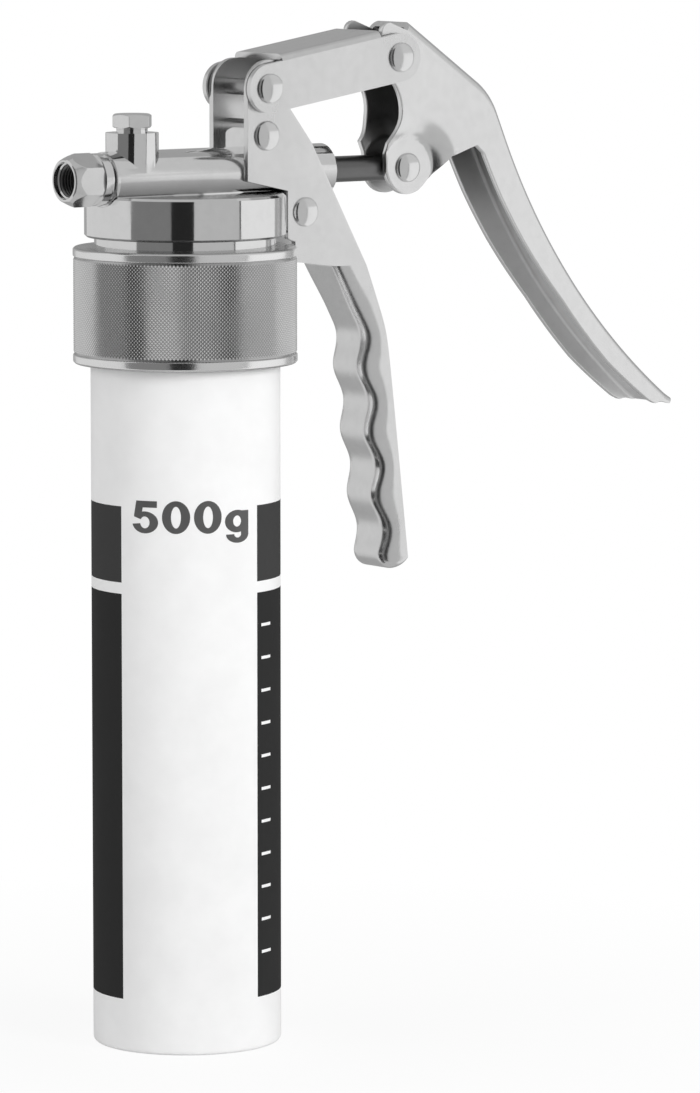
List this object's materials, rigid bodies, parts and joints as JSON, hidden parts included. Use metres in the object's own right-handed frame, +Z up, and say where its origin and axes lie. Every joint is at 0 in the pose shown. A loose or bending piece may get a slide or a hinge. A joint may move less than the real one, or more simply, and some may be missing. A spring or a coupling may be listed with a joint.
{
  "type": "grease gun",
  "caption": "One-hand grease gun: a folded lever and link drive a plunger in a plated pump head, fed by a screw-in cartridge held by a knurled collar.",
  "frame": {"origin": "middle of the cartridge's flat base, which the gun stands on", "axes": "+Z up the cartridge, -X along the pump barrel to the outlet, +X to the hand lever"},
  "size_m": [0.2267, 0.068, 0.3095],
  "materials": {
    "white_plastic": "gloss moulded",
    "plated_casting": "bright nickel plated",
    "bright_steel": "bright turned",
    "plated_sheet": "polished and plated sheet",
    "knurled_steel": "diamond knurl between polished bands",
    "black_steel": "black oxide",
    "spring_steel": "drawn wire",
    "bush_brass": "turned",
    "seal_rubber": "matt",
    "grey_plastic": "moulded",
    "grease": "soft"
  },
  "bodies": {
    "gun_body": {"cartridge_tube": "white_plastic", "grease_charge": "grease", "neck_grease": "grease", "collar_gasket": "seal_rubber", "knurled_collar": "knurled_steel", "pump_head": "plated_casting", "outlet_washer": "bright_steel", "outlet_nut": "bright_steel", "check_spring": "spring_steel", "bleed_washer": "bright_steel", "return_spring": "spring_steel", "plunger_seal": "seal_rubber", "gland_bush": "bush_brass", "grip_handle": "plated_sheet", "handle_rivets": "bright_steel", "link_pivot_rivet": "bright_steel", "pivot_washers": "bright_steel"},
    "plunger": {"plunger_rod": "black_steel"},
    "hand_lever": {"lever": "plated_sheet", "lever_pivot_rivet": "bright_steel", "rod_pivot_rivet": "bright_steel"},
    "link": {"link_channel": "plated_sheet"},
    "follower": {"follower_piston": "grey_plastic"},
    "valve_ball": {"check_ball": "bright_steel"},
    "bleed": {"bleed_screw": "bright_steel"}
  },
  "joints": [
    {"name": "lever_squeeze", "type": "hinge", "parent": "plunger", "child": "hand_lever", "pos_m": [0.0793, 0, 0.2645], "axis": [0, 1, 0], "range_deg": [0, 30], "stiffness_Nm_per_rad": 0.8, "springref_deg": -28.65},
    {"name": "plunger_stroke", "type": "slide", "parent": "gun_body", "child": "plunger", "axis": [-1, 0, 0], "range_m": [0, 0.0182], "deforming": ["return_spring"]},
    {"name": "link_swing", "type": "hinge", "parent": "hand_lever", "child": "link", "pos_m": [0.07233, 0, 0.2988], "axis": [0, 1, 0], "range_deg": [-29, 0]},
    {"name": "follower_rise", "type": "slide", "parent": "gun_body", "child": "follower", "axis": [0, 0, 1], "range_m": [0, 0.191], "deforming": ["grease_charge"]},
    {"name": "ball_lift", "type": "slide", "parent": "gun_body", "child": "valve_ball", "axis": [-1, 0, 0], "range_m": [0, 0.0012], "stiffness_N_per_m": 300, "springref_m": -0.004, "deforming": ["check_spring"]},
    {"name": "bleed_turn", "type": "hinge", "parent": "gun_body", "child": "bleed", "pos_m": [-0.0193, 0, 0.28], "axis": [0, 0, 1], "range_deg": [0, 360]}
  ],
  "couplings": [
    {"joint": "plunger_stroke", "follows": "lever_squeeze", "m_per_rad": 0.03422},
    {"joint": "link_swing", "follows": "lever_squeeze", "ratio": -0.9571}
  ]
}
